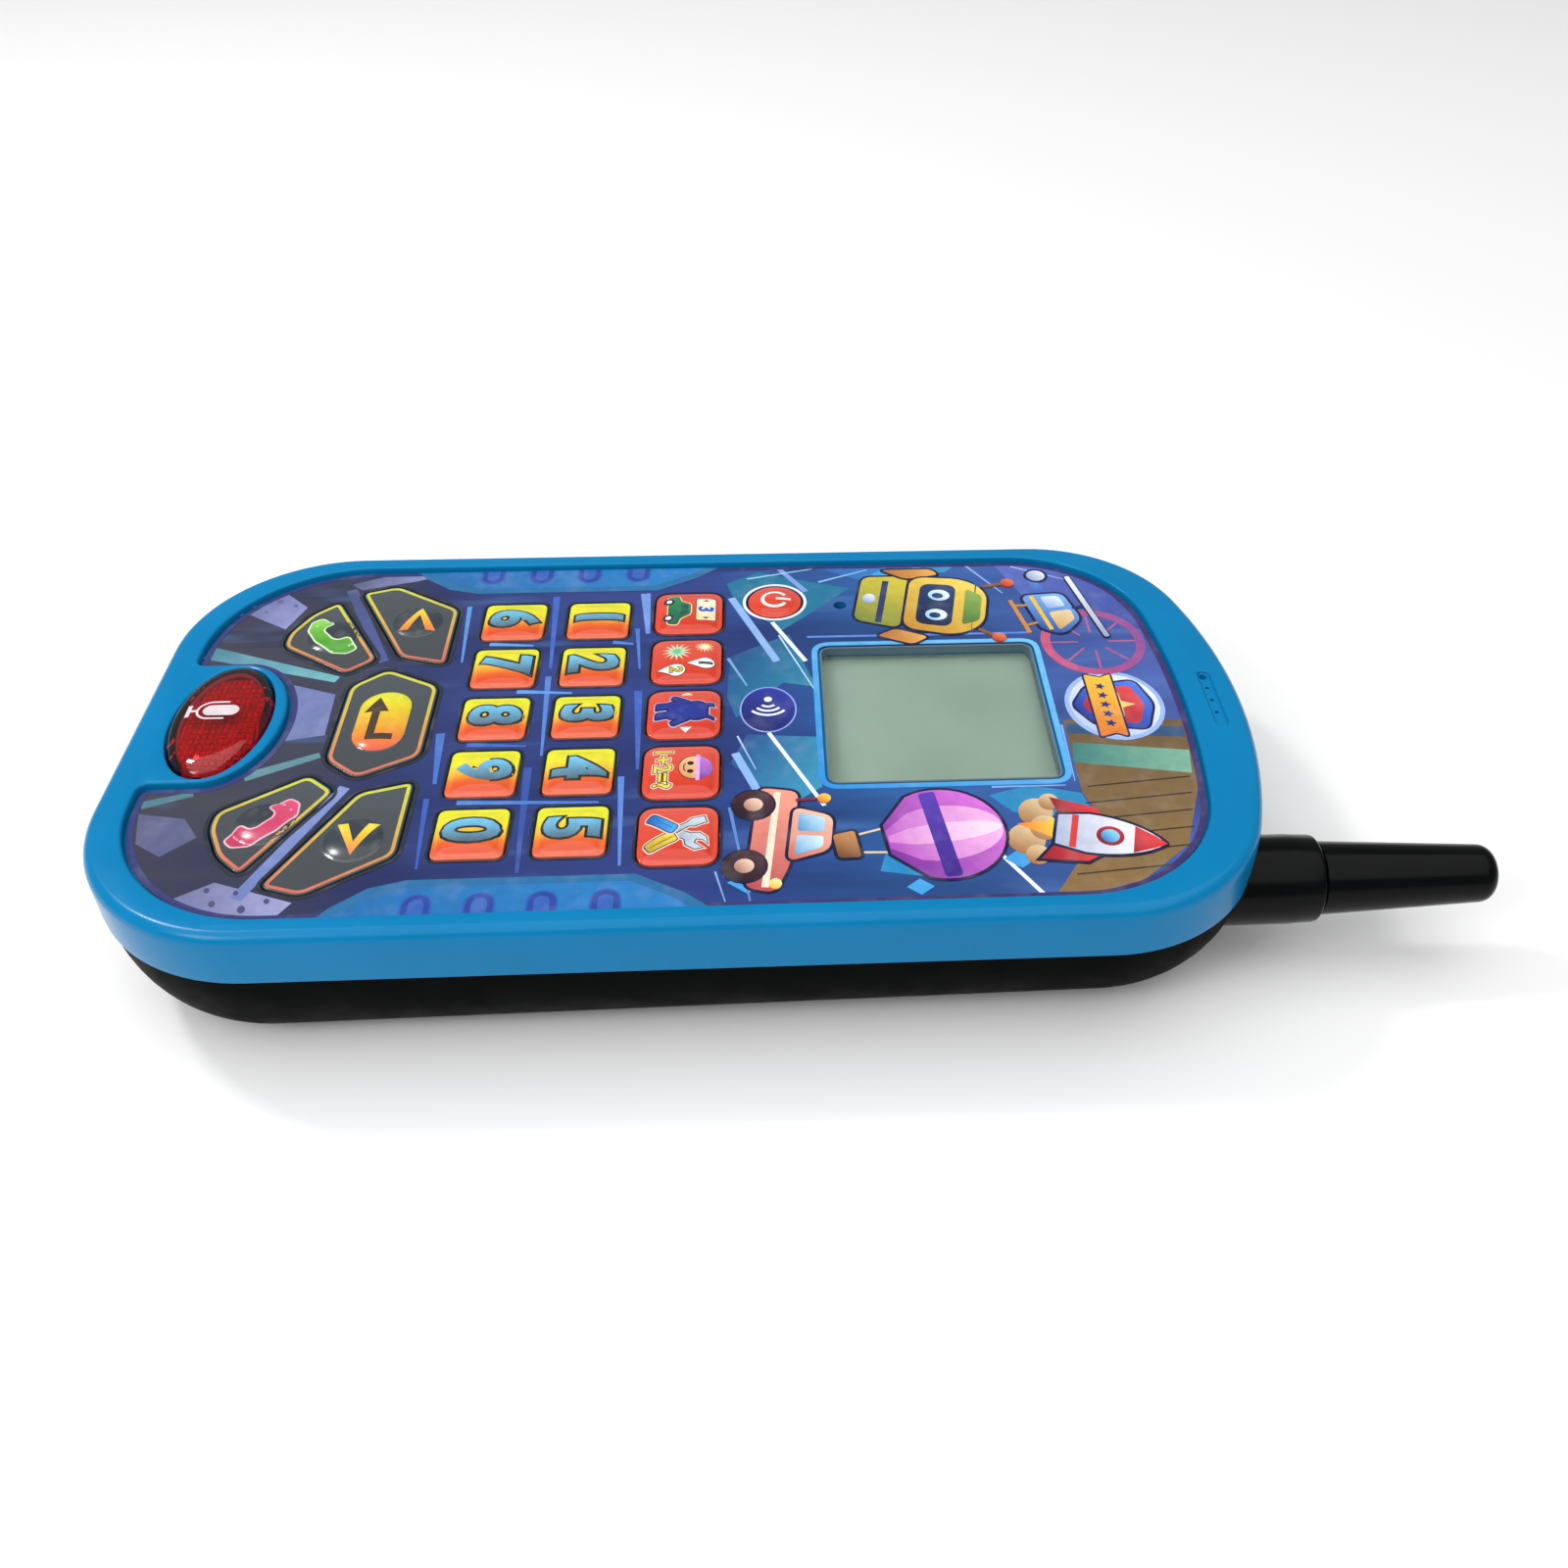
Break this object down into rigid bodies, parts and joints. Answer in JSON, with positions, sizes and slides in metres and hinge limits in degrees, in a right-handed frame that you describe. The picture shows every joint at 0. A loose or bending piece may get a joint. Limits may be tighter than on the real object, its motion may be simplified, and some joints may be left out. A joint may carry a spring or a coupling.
{
  "type": "toy walkie talkie",
  "caption": "Toy walkie talkie handset: rounded slab case with a stub antenna, a small display, a sprung keypad, an oval talk button and a battery door in its back.",
  "frame": {"origin": "under the middle of the whole object's box, on the surface that its back lies on", "axes": "+Z out of the face, up from the back it lies on; +Y along the handset towards the antenna; +X to the right as the keys are read"},
  "size_m": [0.086, 0.1918, 0.0259],
  "materials": {
    "blue_case": "glossy moulded plastic with softly rounded edges",
    "black_case": "satin moulded plastic",
    "printed_sheet": "printed and embossed plastic film",
    "digit_key": "printed yellow to orange, embossed and glossy",
    "red_key": "printed red, embossed and glossy",
    "panel_key": "printed dark grey panel with a yellow to orange outline",
    "call_panel_key": "printed dark grey panel with a handset symbol",
    "red_clear": "clear red moulded plastic with a waffle pattern beneath",
    "clear_window": "clear plastic window",
    "display_grey": "grey-green unlit liquid crystal panel",
    "grey_plastic": "moulded plastic",
    "circuit_green": "lacquered circuit board",
    "silicone": "soft silicone rubber",
    "chip_black": "moulded epoxy",
    "red_light": "clear red light emitter",
    "steel": "plated pressed steel",
    "spring_steel": "nickel-plated spring steel",
    "screw_steel": "zinc-plated steel",
    "paper_cone": "pressed paper cone",
    "cell_wrap": "shrink-wrapped steel can",
    "antenna_gloss": "glossy black flexible vinyl",
    "lead_red": "vinyl-insulated wire",
    "lead_black": "vinyl-insulated wire"
  },
  "bodies": {
    "case": {"front_case": "blue_case", "rear_case": "black_case", "overlay_sheet": "printed_sheet", "display_window": "clear_window", "display_panel": "display_grey", "display_holder": "grey_plastic", "circuit_board": "circuit_green", "key_mat": "silicone", "main_chip": "chip_black", "talk_switch": "chip_black", "talk_light_left": "red_light", "talk_light_right": "red_light", "microphone": "steel", "speaker_basket": "steel", "speaker_cone": "paper_cone", "speaker_magnet": "steel", "battery_left": "cell_wrap", "battery_right": "cell_wrap", "battery_spring_left": "spring_steel", "battery_spring_right": "spring_steel", "battery_plate_left": "spring_steel", "battery_plate_right": "spring_steel", "antenna_collar": "antenna_gloss", "antenna_mast": "antenna_gloss", "battery_lead_red": "lead_red", "battery_lead_black": "lead_black", "speaker_lead_red": "lead_red", "speaker_lead_black": "lead_black", "case_screw_lower_left": "screw_steel", "case_screw_lower_right": "screw_steel", "case_screw_middle_left": "screw_steel", "case_screw_middle_right": "screw_steel", "case_screw_upper_left": "screw_steel", "case_screw_upper_right": "screw_steel"},
    "digit_key_1": {"digit_key_1": "digit_key"},
    "digit_key_2": {"digit_key_2": "digit_key"},
    "digit_key_3": {"digit_key_3": "digit_key"},
    "digit_key_4": {"digit_key_4": "digit_key"},
    "digit_key_5": {"digit_key_5": "digit_key"},
    "digit_key_6": {"digit_key_6": "digit_key"},
    "digit_key_7": {"digit_key_7": "digit_key"},
    "digit_key_8": {"digit_key_8": "digit_key"},
    "digit_key_9": {"digit_key_9": "digit_key"},
    "digit_key_0": {"digit_key_0": "digit_key"},
    "game_key_1": {"game_key_1": "red_key"},
    "game_key_2": {"game_key_2": "red_key"},
    "game_key_3": {"game_key_3": "red_key"},
    "game_key_4": {"game_key_4": "red_key"},
    "game_key_5": {"game_key_5": "red_key"},
    "power_key": {"power_key": "red_key"},
    "enter_key": {"enter_key": "panel_key"},
    "left_arrow_key": {"left_arrow_key": "panel_key"},
    "right_arrow_key": {"right_arrow_key": "panel_key"},
    "call_key": {"call_key": "call_panel_key"},
    "hang_up_key": {"hang_up_key": "call_panel_key"},
    "talk_button": {"talk_button": "red_clear"},
    "battery_door": {"battery_door": "black_case", "door_screw": "screw_steel"}
  },
  "joints": [
    {"name": "digit_key_1_press", "type": "slide", "parent": "case", "child": "digit_key_1", "axis": [0, 0, -1], "range_m": [0, 0.0008], "stiffness_N_per_m": 900, "springref_m": -0.0003},
    {"name": "digit_key_2_press", "type": "slide", "parent": "case", "child": "digit_key_2", "axis": [0, 0, -1], "range_m": [0, 0.0008], "stiffness_N_per_m": 900, "springref_m": -0.0003},
    {"name": "digit_key_3_press", "type": "slide", "parent": "case", "child": "digit_key_3", "axis": [0, 0, -1], "range_m": [0, 0.0008], "stiffness_N_per_m": 900, "springref_m": -0.0003},
    {"name": "digit_key_4_press", "type": "slide", "parent": "case", "child": "digit_key_4", "axis": [0, 0, -1], "range_m": [0, 0.0008], "stiffness_N_per_m": 900, "springref_m": -0.0003},
    {"name": "digit_key_5_press", "type": "slide", "parent": "case", "child": "digit_key_5", "axis": [0, 0, -1], "range_m": [0, 0.0008], "stiffness_N_per_m": 900, "springref_m": -0.0003},
    {"name": "digit_key_6_press", "type": "slide", "parent": "case", "child": "digit_key_6", "axis": [0, 0, -1], "range_m": [0, 0.0008], "stiffness_N_per_m": 900, "springref_m": -0.0003},
    {"name": "digit_key_7_press", "type": "slide", "parent": "case", "child": "digit_key_7", "axis": [0, 0, -1], "range_m": [0, 0.0008], "stiffness_N_per_m": 900, "springref_m": -0.0003},
    {"name": "digit_key_8_press", "type": "slide", "parent": "case", "child": "digit_key_8", "axis": [0, 0, -1], "range_m": [0, 0.0008], "stiffness_N_per_m": 900, "springref_m": -0.0003},
    {"name": "digit_key_9_press", "type": "slide", "parent": "case", "child": "digit_key_9", "axis": [0, 0, -1], "range_m": [0, 0.0008], "stiffness_N_per_m": 900, "springref_m": -0.0003},
    {"name": "digit_key_0_press", "type": "slide", "parent": "case", "child": "digit_key_0", "axis": [0, 0, -1], "range_m": [0, 0.0008], "stiffness_N_per_m": 900, "springref_m": -0.0003},
    {"name": "game_key_1_press", "type": "slide", "parent": "case", "child": "game_key_1", "axis": [0, 0, -1], "range_m": [0, 0.0008], "stiffness_N_per_m": 900, "springref_m": -0.0003},
    {"name": "game_key_2_press", "type": "slide", "parent": "case", "child": "game_key_2", "axis": [0, 0, -1], "range_m": [0, 0.0008], "stiffness_N_per_m": 900, "springref_m": -0.0003},
    {"name": "game_key_3_press", "type": "slide", "parent": "case", "child": "game_key_3", "axis": [0, 0, -1], "range_m": [0, 0.0008], "stiffness_N_per_m": 900, "springref_m": -0.0003},
    {"name": "game_key_4_press", "type": "slide", "parent": "case", "child": "game_key_4", "axis": [0, 0, -1], "range_m": [0, 0.0008], "stiffness_N_per_m": 900, "springref_m": -0.0003},
    {"name": "game_key_5_press", "type": "slide", "parent": "case", "child": "game_key_5", "axis": [0, 0, -1], "range_m": [0, 0.0008], "stiffness_N_per_m": 900, "springref_m": -0.0003},
    {"name": "power_key_press", "type": "slide", "parent": "case", "child": "power_key", "axis": [0, 0, -1], "range_m": [0, 0.0008], "stiffness_N_per_m": 900, "springref_m": -0.0003},
    {"name": "enter_key_press", "type": "slide", "parent": "case", "child": "enter_key", "axis": [0, 0, -1], "range_m": [0, 0.0008], "stiffness_N_per_m": 900, "springref_m": -0.0003},
    {"name": "left_arrow_key_press", "type": "slide", "parent": "case", "child": "left_arrow_key", "axis": [0, 0, -1], "range_m": [0, 0.0008], "stiffness_N_per_m": 900, "springref_m": -0.0003},
    {"name": "right_arrow_key_press", "type": "slide", "parent": "case", "child": "right_arrow_key", "axis": [0, 0, -1], "range_m": [0, 0.0008], "stiffness_N_per_m": 900, "springref_m": -0.0003},
    {"name": "call_key_press", "type": "slide", "parent": "case", "child": "call_key", "axis": [0, 0, -1], "range_m": [0, 0.0008], "stiffness_N_per_m": 900, "springref_m": -0.0003},
    {"name": "hang_up_key_press", "type": "slide", "parent": "case", "child": "hang_up_key", "axis": [0, 0, -1], "range_m": [0, 0.0008], "stiffness_N_per_m": 900, "springref_m": -0.0003},
    {"name": "talk_button_press", "type": "slide", "parent": "case", "child": "talk_button", "axis": [0, 0, -1], "range_m": [0, 0.0015], "stiffness_N_per_m": 700, "springref_m": -0.0004},
    {"name": "battery_door_lift", "type": "slide", "parent": "case", "child": "battery_door", "axis": [0, 0, -1], "range_m": [0, 0.03]}
  ]
}
